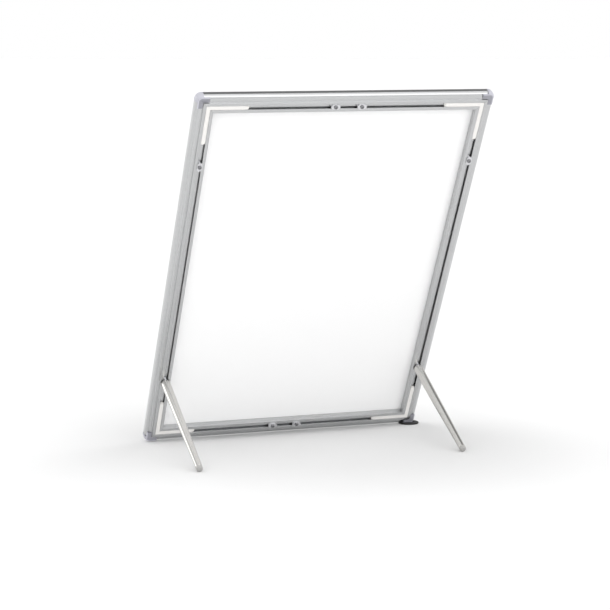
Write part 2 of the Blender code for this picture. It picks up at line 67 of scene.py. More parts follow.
SLOT_HALF = 3.9 * MM
CAVITY_HALF = 7.4 * MM
LIP = 1.5 * MM
CAVITY_FLOOR = 4.9 * MM
BOX_DEPTH = 6.1 * MM
BOX_OUT = 9.3 * MM
FLANGE_BACK = 2.9 * MM
FLANGE_FRONT = 4.2 * MM
FLANGE_SLOPE = 12.5 * MM
FLANGE_TIP = (17.0 * MM, 4.2 * MM)
FLANGE_PLAY_R = 6.95 * MM
FLANGE_BOW = 0.12 * MM  # how far its slope bulges
RAIL_FILLET = 0.35 * MM
WALL = 1.4 * MM
SEAT = 11.9 * MM
RIB_IN = 1.6 * MM
RIB_OUT = 2.8 * MM
RIB_TOP = 15.3 * MM

HINGE_S = 15.4 * MM
HINGE_D = 11.2 * MM
BEAD_R = 4.6 * MM
CURL_IN_R = 5.2 * MM
CURL_OUT_R = 6.6 * MM
CURL_END = math.radians(82)
COVER_FRONT = 18 * MM
COVER_EDGE_R = 1.5 * MM
COVER_LIP_TIP = 15.6 * MM
COVER_DROP = 0.9 * MM
COVER_CHAMFER = 0.7 * MM
COVER_FILLET = 0.4 * MM

PANEL_T = 1.7 * MM
POSTER_T = 0.3 * MM
CLEAR_T = 0.5 * MM
SHEET_PLAY = 0.4 * MM
SHEET_BEVEL = 0.3  # share of a sheet's thickness

CAP_BLOCK = 12.7 * MM
CAP_PROUD = 0.8 * MM
CAP_BACK = 1.6 * MM
CAP_FRONT = 19 * MM
CAP_ROUND = 8 * MM
CAP_FRONT_ROUND = 4 * MM
CAP_CORNER_R = 12 * MM
CAP_WALL = 1.0 * MM
CAP_OPEN = 20 * MM
CAP_ARM = 23 * MM
CAP_ARM_OUT = 2.8 * MM
CAP_ARM_IN = 11.6 * MM
CAP_LIP_IN = 4.4 * MM
CAP_PLATE_DEPTH = 2.6 * MM
CAP_LIP_DEPTH = 4.3 * MM
CAP_ARM_R = 7 * MM
CAP_ARM_FILLET = 0.5 * MM
CAP_SHARP = 30  # degrees between faces, from where an edge stays sharp
CAP_SEGMENTS = 12
BASE_END = 8.5 * MM
COVER_END = CAP_BLOCK + 0.5 * MM

CONNECTOR_ARM = 70 * MM
CONNECTOR_RIB_HALF = 3.6 * MM
CONNECTOR_HALF = 5.8 * MM
CONNECTOR_TOP = 0.2 * MM
PLATE_LONGER = 2 * MM
SMALL_BEVEL = 0.3 * MM  # on connectors and lugs
SMALL_SHARP = 50  # degrees, on connectors, lugs and the foot

LUG_LENGTH = 17 * MM
LUG_WIDTH = 9.6 * MM
LUG_HEAD = (0.3 * MM, 2.0 * MM)
LUG_FOOT = (1.8 * MM, 4.5 * MM)
LUG_NECK_SIZE = (15 * MM, 7.2 * MM)
LUG_FOOT_SIZE = (15.5 * MM, 12 * MM)
LUG_OVERLAP = 0.4 * MM
LUG_DRILL_REACH = 15 * MM
LUG_SCREW_HOLE = 2.1 * MM
LUG_STUD_HOLE = 3.15 * MM
LUG_TOP_X = 24 * MM
LUG_SIDE_Z = 235 * MM
SCREW_HEAD_R = 3.5 * MM
SCREW_SHANK_R = 1.8 * MM
SCREW_TOP = 4.2 * MM
SCREW_TIP = -4.4 * MM
SCREW_POINT = 0.5 * MM
SCREW_POINT_R = 0.7  # share of the shank's radius left at its end
SCREW_CROWN = 0.7  # share of the head's height that is rounded
RECESS = (1.9 * MM, 0.45 * MM, 1.1 * MM)  # half length, half width and depth of the cross
RECESS_TURN = math.radians(20)

LEG_Z = -231 * MM
LEG_LENGTH = 245 * MM
LEG_BASE_R = 8.8 * MM
LEG_TIP_R = 6.1 * MM
LEG_CHAMFER = 0.8 * MM
LEG_START = LUG_HEAD[1] + GAP
TIP_LENGTH = 6 * MM
TIP_ROUND = 3 * MM
TIP_CHAMFER = 0.3 * MM
TIP_PIN_R = 2.2 * MM
TIP_PIN = 8 * MM
STUD_R = 2.85 * MM
STUD_DEPTH = 14 * MM
STUD_CHAMFER = 0.5 * MM

FOOT_R = 19.5 * MM
FOOT_T = 3.0 * MM
FOOT_FLOOR = 1.0 * MM
FOOT_CHAMFER = 0.6 * MM
FOOT_EDGE = 0.2 * MM
FOOT_BEVEL = 0.12 * MM
FOOT_RING = (2.6 * MM, 2.3 * MM, 1.9 * MM, 1.6 * MM)  # its groove, in from the rim
FOOT_RING_DEPTH = 0.35 * MM
POCKET_PLAY = 0.6 * MM
POCKET_Y = (-8.4 * MM, 5.8 * MM)

# --- the board's own axes, read from the frame ----------------------------------------

OUT_OF_BACK = Vector(JOINTS["leg_left_turn"]["axis"]).normalized()
ACROSS = Vector((1, 0, 0))
UP_BOARD = ACROSS.cross(OUT_OF_BACK).normalized()
LEFT_LEG = Vector(JOINTS["leg_left_turn"]["pos_m"])
RIGHT_LEG = Vector(JOINTS["leg_right_turn"]["pos_m"])
TOP_HINGE = Vector(JOINTS["cover_top_open"]["pos_m"])
BOTTOM_HINGE = Vector(JOINTS["cover_bottom_open"]["pos_m"])

ORIGIN = (TOP_HINGE + BOTTOM_HINGE) / 2 + OUT_OF_BACK * HINGE_D
BOARD = Matrix((ACROSS, OUT_OF_BACK, UP_BOARD)).transposed().to_4x4()
BOARD.translation = ORIGIN
HALF_W = (LEFT_LEG - RIGHT_LEG).length / 2
HALF_H = (TOP_HINGE - BOTTOM_HINGE).length / 2 - HINGE_S

# For each side: the direction of s, the direction along the rail, and half the
# poster's length on that side.
SIDES = {
    "top": (Vector((0, 0, 1)), Vector((1, 0, 0)), HALF_W),
    "bottom": (Vector((0, 0, -1)), Vector((-1, 0, 0)), HALF_W),
    "left": (Vector((1, 0, 0)), Vector((0, 0, -1)), HALF_H),
    "right": (Vector((-1, 0, 0)), Vector((0, 0, 1)), HALF_H),
}
CORNERS = {
    "top_left": (1, 1),
    "top_right": (-1, 1),
    "bottom_left": (1, -1),
    "bottom_right": (-1, -1),
}
LUGS = {
    "top_1": (LUG_TOP_X, HALF_H, False),
    "top_2": (-LUG_TOP_X, HALF_H, False),
    "bottom_1": (LUG_TOP_X, -HALF_H, False),
    "bottom_2": (-LUG_TOP_X, -HALF_H, False),
    "left_upper": (HALF_W, LUG_SIDE_Z, True),
    "right_upper": (-HALF_W, LUG_SIDE_Z, True),
    "left_leg": (HALF_W, LEG_Z, True),
    "right_leg": (-HALF_W, LEG_Z, True),
}
BACK = Vector((0, 1, 0))


# --- camera, floor and light ----------------------------------------------------------

CAMERA_FROM_BOARD = Vector((1.25532, 3.43254, 0.44072))
CAMERA_AZIMUTH = math.radians(160.1887)
CAMERA_ELEVATION = math.radians(7.7447)
LENS = 120.426
SENSOR = 36
CAMERA_REACH = 50

# Light from the studio's parts, by the height or depth of a direction: a sweep low
# down, the front of the room, its sides and back, and a softbox overhead. Each pair
# is where one part has begun to fade into the next and where it has ended.
SWEEP_LIGHT = 1.0
FRONT_LIGHT = 0.8
SIDE_LIGHT = 1.0
OVERHEAD_LIGHT = 1.35
SWEEP_EDGE = (0.20, 0.34)
FRONT_EDGE = (-0.36, -0.20)
OVERHEAD_EDGE = (0.50, 0.66)
FRONT_OVERHEAD_EDGE = (0.86, 0.93)
# A dark corner and two softboxes: a direction, the cosines of the outer and inner
# edges, and the light.
PATCHES = (
    ((-0.35, -0.39, 0.855), 0.90, 0.96, 0.22),
    ((0.645, -0.71, 0.24), 0.955, 0.985, 2.6),
    ((-0.25, 0.94, 0.20), 0.90, 0.97, 2.4),
)

# The floor is painted a little darker round the board, by its distance in metres: a painted
# shadow of the board.
FLOOR_PAINTED_SHADOW = 0.76
FLOOR_FAR = 0.98
FLOOR_SHADOW_FADE = (0.12, 0.65)


def make_camera():
    data = bpy.data.cameras.new("camera")
    data.lens = LENS
    data.sensor_width = SENSOR
    data.clip_end = CAMERA_REACH
    camera = bpy.data.objects.new("camera", data)
    camera.location = ORIGIN + CAMERA_FROM_BOARD
    camera.rotation_euler = (math.pi / 2 - CAMERA_ELEVATION, 0, CAMERA_AZIMUTH)
    bpy.context.scene.collection.objects.link(camera)
    bpy.context.scene.camera = camera


def span(tree, source, start, end, low=0.0, high=1.0, kind="SMOOTHSTEP"):
    """Map Range from start..end to low..high."""
    made = tree.nodes.new("ShaderNodeMapRange")
    made.interpolation_type = kind
    for name, value in (
        ("From Min", start), ("From Max", end), ("To Min", low), ("To Max", high)
    ):
        made.inputs[name].default_value = value
    tree.links.new(source, made.inputs["Value"])
    return made.outputs["Result"]


def blend(tree, factor, first, second):
    """Float mix; first and second are numbers or sockets."""
    made = tree.nodes.new("ShaderNodeMix")
    tree.links.new(factor, made.inputs["Factor"])
    for name, value in (("A", first), ("B", second)):
        if isinstance(value, float):
            made.inputs[name].default_value = value
        else:
            tree.links.new(value, made.inputs[name])
    return made.outputs["Result"]


def make_world():
    """A white sweep low down, a softbox overhead and a dimmer room in front."""
    world = bpy.data.worlds.new("studio")
    world.use_nodes = True
    tree = world.node_tree
    coords = tree.nodes.new("ShaderNodeTexCoord")
    parts = tree.nodes.new("ShaderNodeSeparateXYZ")
    tree.links.new(coords.outputs["Generated"], parts.inputs[0])
    height, depth = parts.outputs["Z"], parts.outputs["Y"]
    above = blend(tree, span(tree, height, *OVERHEAD_EDGE), SIDE_LIGHT, OVERHEAD_LIGHT)
    front_above = span(tree, height, *FRONT_OVERHEAD_EDGE)
    front = blend(tree, front_above, FRONT_LIGHT, OVERHEAD_LIGHT)
    behind = blend(tree, span(tree, depth, *FRONT_EDGE), front, above)
    light = blend(tree, span(tree, height, *SWEEP_EDGE), SWEEP_LIGHT, behind)
    for direction, outer, inner, strength in PATCHES:
        facing = tree.nodes.new("ShaderNodeVectorMath")
        facing.operation = "DOT_PRODUCT"
        facing.inputs[1].default_value = Vector(direction).normalized()
        tree.links.new(coords.outputs["Generated"], facing.inputs[0])
        patch = span(tree, facing.outputs["Value"], outer, inner)
        light = blend(tree, patch, light, strength)
    background = tree.nodes["Background"]
    background.inputs["Color"].default_value = (1, 1, 1, 1)
    tree.links.new(light, background.inputs["Strength"])
    bpy.context.scene.world = world


def make_floor():
    mesh = bpy.data.meshes.new("floor")
    corners = [(-30, -60, 0), (30, -60, 0), (30, 10, 0), (-30, 10, 0)]
    mesh.from_pydata(corners, [], [(0, 1, 2, 3)])
    floor = bpy.data.objects.new("floor", mesh)
    bpy.context.scene.collection.objects.link(floor)
    finish, tree, shader = new_material("floor", (1, 1, 1), 0.9)
    coords = tree.nodes.new("ShaderNodeTexCoord")
    reach = tree.nodes.new("ShaderNodeVectorMath")
    reach.operation = "LENGTH"
    tree.links.new(coords.outputs["Object"], reach.inputs[0])
    made = tree.nodes.new("ShaderNodeCombineColor")
    # The floor's colour darkens towards the board: a painted shadow of the board on the floor.
    painted_shadow_grey = span(tree, reach.outputs["Value"], *FLOOR_SHADOW_FADE, FLOOR_PAINTED_SHADOW, FLOOR_FAR)
    for channel in ("Red", "Green", "Blue"):
        tree.links.new(painted_shadow_grey, made.inputs[channel])
    tree.links.new(made.outputs[0], shader.inputs["Base Color"])
    mesh.materials.append(finish)


# --- materials ------------------------------------------------------------------------


def new_material(name, color, roughness, metallic=0.0):
    made = bpy.data.materials.new(name)
    made.use_nodes = True
    shader = made.node_tree.nodes["Principled BSDF"]
    shader.inputs["Base Color"].default_value = (*color, 1)
    shader.inputs["Roughness"].default_value = roughness
    shader.inputs["Metallic"].default_value = metallic
    return made, made.node_tree, shader


def noise(tree, scale, detail=4):
    """Noise in object coordinates; scale is its features per metre along each axis."""
    coords = tree.nodes.new("ShaderNodeTexCoord")
    mapping = tree.nodes.new("ShaderNodeMapping")
    mapping.inputs["Scale"].default_value = scale
    tree.links.new(coords.outputs["Object"], mapping.inputs["Vector"])
    made = tree.nodes.new("ShaderNodeTexNoise")
    made.inputs["Scale"].default_value = 1.0
    made.inputs["Detail"].default_value = detail
    tree.links.new(mapping.outputs["Vector"], made.inputs["Vector"])
    return made.outputs["Fac"]


def tone(tree, shader, source, dark, light):
    """The base colour runs between two close tones with the noise."""
    made = tree.nodes.new("ShaderNodeValToRGB")
    for element, place, color in zip(made.color_ramp.elements, (0.3, 0.7), (dark, light)):
        element.position = place
        element.color = (*color, 1)
    tree.links.new(source, made.inputs["Fac"])
    tree.links.new(made.outputs["Color"], shader.inputs["Base Color"])


def roughen(tree, shader, source, low, high):
    result = span(tree, source, 0.3, 0.7, low, high, "LINEAR")
    tree.links.new(result, shader.inputs["Roughness"])


def bump(tree, shader, source, depth):
    made = tree.nodes.new("ShaderNodeBump")
    made.inputs["Strength"].default_value = 1.0
    made.inputs["Distance"].default_value = depth
    tree.links.new(source, made.inputs["Height"])
    tree.links.new(made.outputs["Normal"], shader.inputs["Normal"])


def shaded(color, factor):
    return tuple(channel * factor for channel in color)


def metal(name, color, scale, roughness, variation=0.05, depth=0.004 * MM, spread=0.05):
    """Satin metal whose fine lines run along the axis with the smallest scale."""
    made, tree, shader = new_material(name, color, roughness, 1.0)
    lines = noise(tree, scale)
    tone(tree, shader, lines, shaded(color, 1 - variation), shaded(color, 1 + variation))
    roughen(tree, shader, lines, roughness - spread, roughness + spread)
    bump(tree, shader, lines, depth)
    return made


def plastic(name, color, roughness, grain, variation=0.04, depth=0.02 * MM):
    made, tree, shader = new_material(name, color, roughness)
    fine = noise(tree, (grain, grain, grain), 6)
    tone(tree, shader, fine, shaded(color, 1 - variation), shaded(color, 1 + variation))
    roughen(tree, shader, fine, roughness - 0.04, roughness + 0.04)
    bump(tree, shader, fine, depth)
    return made


ALUMINIUM = (0.55, 0.555, 0.56)
RAIL_X = metal("aluminium_along_x", ALUMINIUM, (5, 1500, 1500), 0.27)
RAIL_Z = metal("aluminium_up_the_board", ALUMINIUM, (1500, 1500, 5), 0.27)
LEG_METAL = metal(
    "turned_aluminium", (0.60, 0.59, 0.57), (420, 6, 420), 0.24, 0.08, 0.002 * MM, 0.04
)
ZINC = metal("zinc_plate", (0.68, 0.68, 0.70), (700, 700, 700), 0.28)
SCREW = metal("dark_zinc_plate", (0.26, 0.26, 0.27), (700, 700, 700), 0.28)
SPRING = metal("spring_strip", (0.42, 0.43, 0.46), (400, 400, 400), 0.3)
CAP = plastic("cap_plastic", (0.52, 0.52, 0.575), 0.36, 1200)
# The cap's back plate is the same plastic as the cap, coloured darker: painted shade for the
# plate's face that lies in shade.
CAP_PLATE_PAINTED_SHADE = plastic("cap_plate_painted_shade", (0.30, 0.30, 0.335), 0.42, 1200)
CONNECTOR = plastic("connector_plastic", (0.84, 0.825, 0.80), 0.45, 900)
PANEL = plastic("panel_plastic", (0.95, 0.95, 0.95), 0.10, 2200, 0.01, 0.001 * MM)
PAPER = plastic("poster_paper", (0.88, 0.88, 0.86), 0.65, 1500, 0.02)
CLEAR = plastic("clear_plastic", (0.95, 0.96, 0.97), 0.10, 1800, 0.01, 0.001 * MM)
CLEAR.node_tree.nodes["Principled BSDF"].inputs["Alpha"].default_value = 0.18
TIP = plastic("tip_plastic", (0.40, 0.395, 0.385), 0.30, 900)
RUBBER = plastic("black_rubber", (0.016, 0.016, 0.016), 0.62, 1100, 0.3, 0.05 * MM)


# --- shapes ---------------------------------------------------------------------------

CORNER_TURN = math.radians(20)


def arc(cx, cy, radius, start, end, steps):
    """Points on an arc, both ends included, angles in radians."""
    angles = [start + (end - start) * i / steps for i in range(steps + 1)]
    return [(cx + radius * math.cos(a), cy + radius * math.sin(a)) for a in angles]


def stadium(length, width, steps=16):
    r = width / 2
    right = arc(length / 2 - r, 0, r, -math.pi / 2, math.pi / 2, steps)
    left = arc(-length / 2 + r, 0, r, math.pi / 2, 3 * math.pi / 2, steps)
    return right + left


def bowed(start, end, rise, steps=6):
    """Points from start to end on a shallow bow, both ends included."""
    first, last = Vector(start), Vector(end)
    side = (last - first).orthogonal().normalized()
    points = []
    for i in range(steps + 1):
        t = i / steps
        points.append(tuple(first.lerp(last, t) - side * rise * 4 * t * (1 - t)))
    return points


def fillet(outline, radius, steps=3):
    """The closed outline with its sharp corners rounded."""
    rounded = []
    for i, point in enumerate(outline):
        here = Vector(point)
        before = Vector(outline[i - 1]) - here
        after = Vector(outline[(i + 1) % len(outline)]) - here
        turn = math.pi - before.angle(after)
        if turn < CORNER_TURN:
            rounded.append(tuple(here))
            continue
        cut = min(radius * math.tan(turn / 2), 0.4 * before.length, 0.4 * after.length)
        start = here + before.normalized() * cut
        end = here + after.normalized() * cut
        for k in range(steps + 1):
            t = k / steps
            rounded.append(tuple(start.lerp(here, t).lerp(here.lerp(end, t), t)))
    return rounded


def to_mesh(bm, name):
    bmesh.ops.recalc_face_normals(bm, faces=bm.faces)
    mesh = bpy.data.meshes.new(name)
    bm.to_mesh(mesh)
    bm.free()
    return mesh


def prism(name, outline, depth, place):
    """The outline extruded by depth; place(a, b, h) gives each point's coordinates."""
    bm = bmesh.new()
    face = bm.faces.new([bm.verts.new(place(a, b, 0)) for a, b in outline])
    grown = bmesh.ops.extrude_face_region(bm, geom=[face])
    shift = Vector(place(0, 0, depth)) - Vector(place(0, 0, 0))
    moved = [v for v in grown["geom"] if isinstance(v, bmesh.types.BMVert)]
    bmesh.ops.translate(bm, vec=shift, verts=moved)
    return to_mesh(bm, name)


def box(name, low, high):
    size = [h - l for l, h in zip(low, high)]
    middle = [(h + l) / 2 for l, h in zip(low, high)]
    bm = bmesh.new()
    bmesh.ops.create_cube(bm, size=1)
    bmesh.ops.scale(bm, vec=size, verts=bm.verts)
    bmesh.ops.translate(bm, vec=middle, verts=bm.verts)
    return to_mesh(bm, name)


def lathe(name, profile, steps):
    """A solid of revolution about Y; profile is (radius, y), its ends on the axis."""
    bm = bmesh.new()
    rings = []
    for radius, y in profile:
        if radius < 1e-9:
            rings.append([bm.verts.new((0, y, 0))])
            continue
        turns = [2 * math.pi * i / steps for i in range(steps)]
        rings.append(
            [bm.verts.new((radius * math.cos(a), y, radius * math.sin(a))) for a in turns]
        )
    for lower, upper in zip(rings, rings[1:]):
        for i in range(steps):
            ends = [ring[(i + k) % len(ring)] for ring, k in
                    ((lower, 0), (lower, 1), (upper, 1), (upper, 0))]
            corners = list(dict.fromkeys(ends))
            bm.faces.new(corners)
    return to_mesh(bm, name)


def mirrored(mesh, name, flip_x, flip_z):
    bm = bmesh.new()
    bm.from_mesh(mesh)
    bmesh.ops.scale(bm, vec=(flip_x, 1, flip_z), verts=bm.verts)
    if flip_x * flip_z < 0:
        bmesh.ops.reverse_faces(bm, faces=bm.faces)
    made = bpy.data.meshes.new(name)
    bm.to_mesh(made)
    bm.free()
    for finish in mesh.materials:
        made.materials.append(finish)
    return made


def finished(mesh, steps=(), bevel=0.0, sharp=35):
    """The mesh after Booleans with others and a bevel, with its normals weighted."""
    made = bpy.data.objects.new("work", mesh)
    bpy.context.scene.collection.objects.link(made)
    others = []
    for operation, other in steps:
        tool = bpy.data.objects.new("tool", other)
        bpy.context.scene.collection.objects.link(tool)
        others.append(tool)
        join = made.modifiers.new(operation, "BOOLEAN")
        join.operation = operation
        join.object = tool
        join.material_mode = "TRANSFER"
    if bevel:
        round_off = made.modifiers.new("bevel", "BEVEL")
        round_off.width = bevel
        round_off.segments = 2
        round_off.limit_method = "ANGLE"
        round_off.angle_limit = math.radians(sharp)
    bpy.context.view_layer.update()
    shape = bpy.data.meshes.new_from_object(
        made.evaluated_get(bpy.context.evaluated_depsgraph_get())
    )
    made.modifiers.clear()
    made.data = shape
    shape.shade_smooth()
    shape.set_sharp_from_angle(angle=math.radians(sharp))
    even = made.modifiers.new("normals", "WEIGHTED_NORMAL")
    even.keep_sharp = True
    bpy.context.view_layer.update()
    final = bpy.data.meshes.new_from_object(
        made.evaluated_get(bpy.context.evaluated_depsgraph_get())
    )
    for tool in (made, *others):
        bpy.data.objects.remove(tool)
    return final


def piece(name, mesh, finish, body, nodes, place=Matrix()):
    """A visible piece in the board's axes, on its body and in place of its CAD nodes."""
    mesh.name = name
    made = bpy.data.objects.new(name, mesh)
    if not any(mesh.materials):
        mesh.materials.clear()
        mesh.materials.append(finish)
    bpy.context.scene.collection.objects.link(made)
    made.matrix_world = BOARD @ place
    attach(made, body)
    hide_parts(*nodes)


# --- rails ----------------------------------------------------------------------------


def base_outline():
    """Section of the base rail: slot box, sheet seat, rib and hinge bead."""
    web_front = math.asin((SEAT - HINGE_D) / BEAD_R)
    web_back = math.asin((HINGE_D - SEAT + WALL) / BEAD_R)
    bead = arc(HINGE_S, HINGE_D, BEAD_R, math.pi - web_front, -math.pi + web_back, 36)
    under_tip = math.acos((FLANGE_TIP[0] - HINGE_S) / FLANGE_PLAY_R)
    tip_under = arc(HINGE_S, HINGE_D, FLANGE_PLAY_R, -under_tip, -math.pi / 2, 8)
    return [
        (-RAIL_IN, 0),
        (-SLOT_HALF, 0),
        (-SLOT_HALF, LIP),
        (-CAVITY_HALF, LIP),
        (-CAVITY_HALF, CAVITY_FLOOR),
        (CAVITY_HALF, CAVITY_FLOOR),
        (CAVITY_HALF, LIP),
        (SLOT_HALF, LIP),
        (SLOT_HALF, 0),
        (BOX_OUT, 0),
        (BOX_OUT, FLANGE_BACK),
        *bowed((FLANGE_SLOPE, FLANGE_BACK), FLANGE_TIP, FLANGE_BOW),
        *tip_under,
        (BOX_OUT, FLANGE_FRONT),
        (BOX_OUT, BOX_DEPTH),
        (WALL - RAIL_IN, BOX_DEPTH),
        (WALL - RAIL_IN, SEAT - WALL),
        *reversed(bead),
        (RIB_OUT, SEAT),
        (RIB_OUT, RIB_TOP),
        (RIB_IN, RIB_TOP),
        (RIB_IN, SEAT),
        (-RAIL_IN, SEAT),
    ]


def cover_outline():
    """Section of the snap cover: curl round the bead, side, front face, turned-in lip."""
    lip = -RAIL_IN - GAP
    side = HINGE_S + CURL_OUT_R
    corner = (side - COVER_EDGE_R, COVER_FRONT - COVER_EDGE_R)
    inner_front = COVER_FRONT - COVER_DROP
    return [
        *arc(HINGE_S, HINGE_D, CURL_OUT_R, -CURL_END, 0, 28),
        *arc(*corner, COVER_EDGE_R, 0, math.pi / 2, 8),
        (lip + COVER_CHAMFER, inner_front),
        (lip, inner_front - COVER_CHAMFER),
        (lip, COVER_LIP_TIP),
        (lip + WALL, COVER_LIP_TIP),
        (lip + WALL, inner_front - WALL),
        (side - WALL, COVER_FRONT - WALL),
        *arc(HINGE_S, HINGE_D, CURL_IN_R, 0, -CURL_END, 28),
    ]


def slot_middle(side):
    out, _, half = SIDES[side]
    return out * (HALF_H if half == HALF_W else HALF_W)


def rail(name, side, outline, cut_back):
    """The outline swept along one side, mitred, and cut square under the caps."""
    out, along, half = SIDES[side]
    reach = half + EDGE
    middle = slot_middle(side)
    bm = bmesh.new()
    face = bm.faces.new([bm.verts.new(middle + out * s - BACK * d) for s, d in outline])
    grown = bmesh.ops.extrude_face_region(bm, geom=[face])
    far = {v for v in grown["geom"] if isinstance(v, bmesh.types.BMVert)}
    for v in bm.verts:
        inset = EDGE - (v.co - middle).dot(out) + MITRE_GAP
        v.co += along * (reach - inset) * (1 if v in far else -1)
    bmesh.ops.triangulate(bm, faces=[f for f in bm.faces if len(f.verts) > 4])
    for sign in (1, -1):
        cut = bmesh.ops.bisect_plane(
            bm,
            geom=[*bm.verts, *bm.edges, *bm.faces],
            dist=1e-7,
            plane_co=middle + along * sign * (reach - cut_back),
            plane_no=along * sign,
            clear_outer=True,
        )
        rim = [e for e in cut["geom_cut"] if isinstance(e, bmesh.types.BMEdge)]
        bmesh.ops.holes_fill(bm, edges=rim, sides=0)
    return finished(to_mesh(bm, name))


def make_rails():
    base = fillet(base_outline(), RAIL_FILLET)
    cover = fillet(cover_outline(), COVER_FILLET)
    for side, (_, _, half) in SIDES.items():
        finish = RAIL_X if half == HALF_W else RAIL_Z
        mesh = rail(f"rail_{side}", side, base, BASE_END)
        piece(
            f"rail_{side}", mesh, finish,
            "frame", [f"base_rail_{side}"],
        )
        mesh = rail(f"cover_{side}", side, cover, COVER_END)
        piece(
            f"cover_{side}", mesh, finish,
            f"cover_{side}", [f"snap_cover_{side}"],
        )


# --- sheets ---------------------------------------------------------------------------


def make_sheets():
    half_w, half_h = HALF_W - SHEET_PLAY, HALF_H - SHEET_PLAY
    layers = (
        ("panel", "back_panel", PANEL_T, PANEL, "panel_white"),
        ("poster", "poster_sheet", POSTER_T, PAPER, "poster_paper"),
        ("clear_sheet", "clear_front_sheet", CLEAR_T, CLEAR, "clear_sheet"),
    )
    depth = SEAT + GAP
    for name, cad, thickness, finish, slot in layers:
        low = (-half_w, -depth - thickness, -half_h)
        slab = box(name, low, (half_w, -depth, half_h))
        mesh = finished(slab, bevel=thickness * SHEET_BEVEL)
        piece(name, mesh, finish, "frame", [cad])
        depth += thickness + GAP


# --- corners --------------------------------------------------------------------------


def cap_block(name, wall):
    """A rounded corner block, its outer faces moved in by wall.

    Its X and Z run in from the frame's nominal edges.
    """
    low, high = wall - CAP_PROUD, CAP_BLOCK + (CAP_OPEN if wall else 0)
    back, front = -CAP_BACK - wall, -CAP_FRONT + wall
    mesh = box(name, (low, front, low), (high, back, high))
    bm = bmesh.new()
    bm.from_mesh(mesh)

    def at(vert, axis, value):
        return abs(vert.co[axis] - value) < 1e-6

    def round_off(edges, radius):
        bmesh.ops.bevel(
            bm, geom=edges, offset=radius, segments=CAP_SEGMENTS, profile=0.5,
            affect="EDGES",
        )

    corner = [e for e in bm.edges if all(at(v, 0, low) and at(v, 2, low) for v in e.verts)]
    round_off(corner, CAP_CORNER_R - wall)
    for y, radius in ((back, CAP_ROUND - wall), (front, CAP_FRONT_ROUND - wall)):
        rims = []
        for edge in bm.edges:
            flat = all(at(v, 1, y) for v in edge.verts)
            inner = any(all(at(v, axis, high) for v in edge.verts) for axis in (0, 2))
            if flat and not inner:
                rims.append(edge)
        round_off(rims, radius)
    return to_mesh(bm, name)


def arm_layer(name, inner, depth):
    """An L along both edges, its outer corner rounded, from the cap's back to depth."""
    low = CAP_ARM_OUT
    centre = low + CAP_ARM_R
    inner_r = centre - inner
    inside = [(inner, inner)]
    if inner_r > 0:
        inside = arc(centre, centre, inner_r, 3 * math.pi / 2, math.pi, 14)
    outline = [
        *arc(centre, centre, CAP_ARM_R, math.pi, 3 * math.pi / 2, 14),
        (CAP_ARM, low),
        (CAP_ARM, inner),
        *inside,
        (inner, CAP_ARM),
        (low, CAP_ARM),
    ]
    outline = fillet(outline, CAP_ARM_FILLET)
    return prism(name, outline, CAP_BACK - depth, lambda a, b, h: (a, h - CAP_BACK, b))


def make_caps():
    block = cap_block("cap_block", 0)
    inside = cap_block("cap_inside", CAP_WALL)
    plate = arm_layer("cap_plate", CAP_ARM_IN, CAP_PLATE_DEPTH)
    lip = arm_layer("cap_lip", CAP_LIP_IN, CAP_LIP_DEPTH)
    # The plate takes the darker copy of the cap's plastic, which is painted shade.
    for mesh, finish in ((block, CAP), (inside, CAP), (plate, CAP_PLATE_PAINTED_SHADE), (lip, CAP)):
        mesh.materials.append(finish)
    steps = (("DIFFERENCE", inside), ("UNION", lip), ("UNION", plate))
    mesh = finished(block, steps, sharp=CAP_SHARP)
    for corner, (cx, cz) in CORNERS.items():
        place = Matrix.Translation((cx * (HALF_W + EDGE), 0, cz * (HALF_H + EDGE)))
        copy = mirrored(mesh, corner, -cx, -cz)
        copy.shade_smooth()
        copy.set_sharp_from_angle(angle=math.radians(CAP_SHARP))
        piece(
            f"cap_{corner}", copy, CAP, "frame",
            [f"corner_cap_{corner}"], place,
        )


def connector_outline(half, arm):
    """An L with round arm ends; its arms run from the origin along +X and +Z."""
    along_x = arc(arm - half, 0, half, -math.pi / 2, math.pi / 2, 16)
    along_z = arc(0, arm - half, half, 0, math.pi, 16)
    return [(-half, -half), *along_x, (half, half), *along_z]


def make_connectors():
    plate = prism(
        "connector_plate",
        connector_outline(CONNECTOR_HALF, CONNECTOR_ARM + PLATE_LONGER),
        -(CAVITY_FLOOR - GAP - LIP - GAP),
        lambda a, b, h: (a, h - LIP - GAP, b),
    )
    rib = prism(
        "connector_rib",
        connector_outline(CONNECTOR_RIB_HALF, CONNECTOR_ARM),
        LIP + 2 * GAP - CONNECTOR_TOP,
        lambda a, b, h: (a, h - LIP - 2 * GAP, b),
    )
    mesh = finished(plate, (("UNION", rib),), bevel=SMALL_BEVEL, sharp=SMALL_SHARP)
    for corner, (cx, cz) in CORNERS.items():
        place = Matrix.Translation((cx * HALF_W, 0, cz * HALF_H))
        copy = finished(mirrored(mesh, corner, -cx, -cz))
        piece(
            f"connector_{corner}", copy, CONNECTOR, "frame",
            [f"corner_connector_{corner}"], place,
        )


# --- slot lugs and screws -------------------------------------------------------------


def lug_layer(name, length, width, low, high):
    return prism(name, stadium(length, width), high - low, lambda a, b, h: (a, low + h, b))


def lug_mesh(hole):
    head = lug_layer("lug_head", LUG_LENGTH, LUG_WIDTH, *LUG_HEAD)
    neck_span = (-LUG_FOOT[0] - LUG_OVERLAP, LUG_HEAD[0] + LUG_OVERLAP)
    neck = lug_layer("neck", *LUG_NECK_SIZE, *neck_span)
    foot = lug_layer("foot", *LUG_FOOT_SIZE, -LUG_FOOT[1], -LUG_FOOT[0])
    end = LUG_DRILL_REACH
    drill = lathe("drill", [(0, -end), (hole, -end), (hole, end), (0, end)], 48)
    steps = (("UNION", neck), ("UNION", foot), ("DIFFERENCE", drill))
    return finished(head, steps, bevel=SMALL_BEVEL, sharp=SMALL_SHARP)


